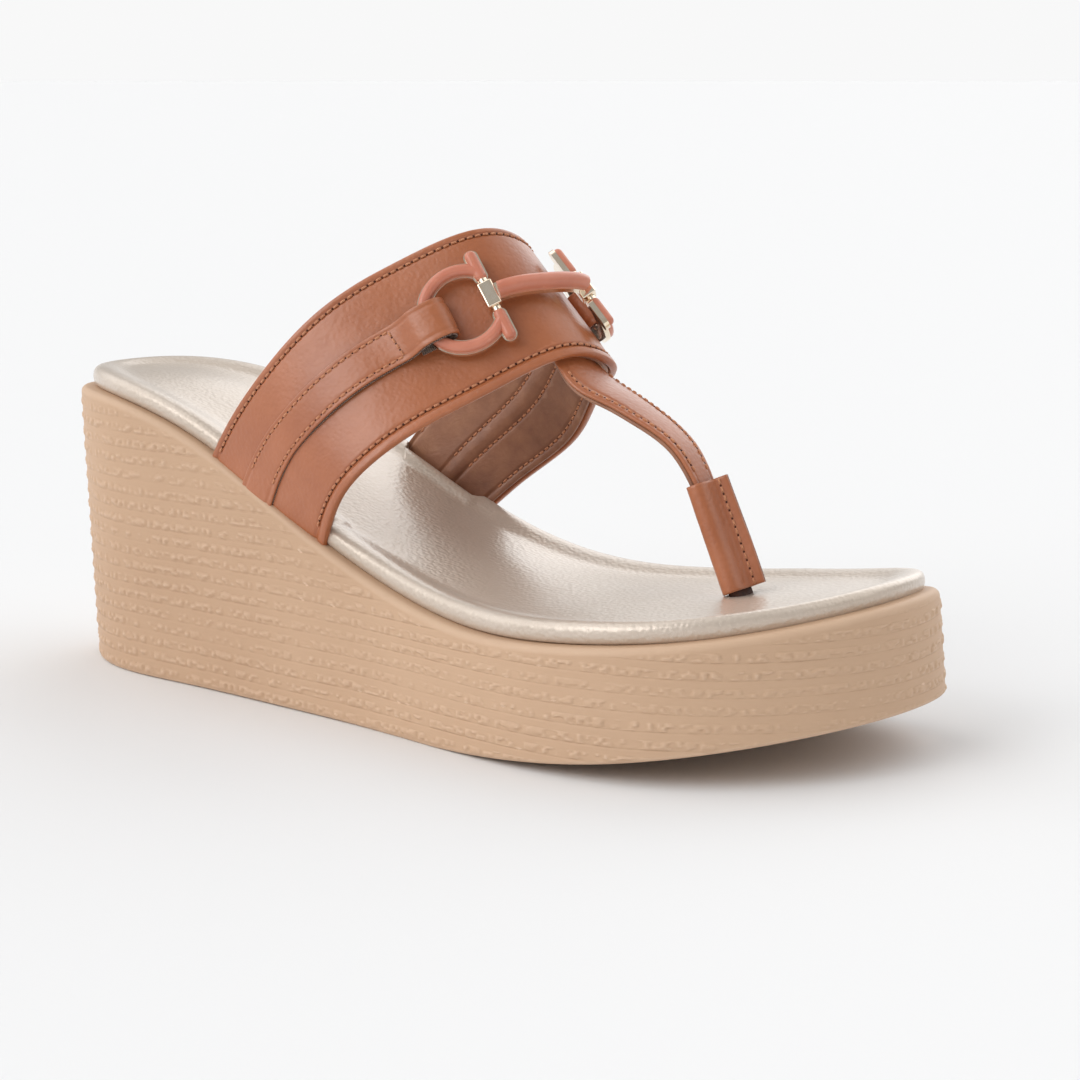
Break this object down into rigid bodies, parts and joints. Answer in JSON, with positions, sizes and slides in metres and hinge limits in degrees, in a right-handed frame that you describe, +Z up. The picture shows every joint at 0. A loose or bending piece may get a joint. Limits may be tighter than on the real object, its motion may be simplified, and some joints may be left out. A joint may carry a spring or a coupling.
{
  "type": "wedge sandal",
  "caption": "Slip-on wedge sandal with a toe post, a wide instep band carrying a bar-and-ring trim, a padded footbed and a platform wedge sole.",
  "frame": {"origin": "on the ground, at the centre of the bounding box's bottom face", "axes": "+X towards the toe, +Y towards the big-toe side, +Z up"},
  "size_m": [0.2432, 0.0916, 0.117],
  "materials": {
    "sole_pu": "moulded, fine horizontal wood-grain texture",
    "board": "pressed fibre board",
    "foam": "soft open foam",
    "footbed_leather": "pearl metallic, fine pebble grain",
    "strap_leather": "smooth, semi-matt",
    "lining_leather": "soft, matt",
    "reinforcement": "woven tape",
    "backing": "woven",
    "gilt": "polished pale gold plate",
    "resin": "satin peach resin"
  },
  "bodies": {
    "sandal": {"wedge_sole": "sole_pu", "insole_board": "board", "footbed_foam": "foam", "footbed_cover": "footbed_leather", "band_outer": "strap_leather", "band_stiffener": "reinforcement", "band_lining": "lining_leather", "lateral_tab": "strap_leather", "medial_tab": "strap_leather", "toe_strap_outer": "strap_leather", "toe_strap_lining": "strap_leather", "toe_post": "strap_leather", "toe_post_anchor": "reinforcement", "toe_post_sleeve": "strap_leather", "sleeve_backing": "backing"},
    "bar": {"bar_frame": "gilt", "bar_cap": "resin"},
    "lateral_ring": {"lateral_ring_frame": "gilt", "lateral_ring_cap": "resin"},
    "medial_ring": {"medial_ring_frame": "gilt", "medial_ring_cap": "resin"}
  },
  "joints": [
    {"name": "bar_lift", "type": "slide", "parent": "sandal", "child": "bar", "axis": [0.7174, -0.1258, 0.6852], "range_m": [0, 0.0012]},
    {"name": "lateral_ring_pivot", "type": "hinge", "parent": "bar", "child": "lateral_ring", "pos_m": [0.01474, -0.00762, 0.10194], "axis": [0.5974, -0.0974, -0.796], "range_deg": [0, 2.89]},
    {"name": "medial_ring_pivot", "type": "hinge", "parent": "bar", "child": "medial_ring", "pos_m": [0.02501, 0.01618, 0.10262], "axis": [-0.7222, 0.0724, 0.6879], "range_deg": [0, 2.89]}
  ],
  "couplings": [
    {"joint": "lateral_ring_pivot", "follows": "bar_lift", "rad_per_m": 41.254},
    {"joint": "medial_ring_pivot", "follows": "bar_lift", "rad_per_m": 41.254}
  ]
}
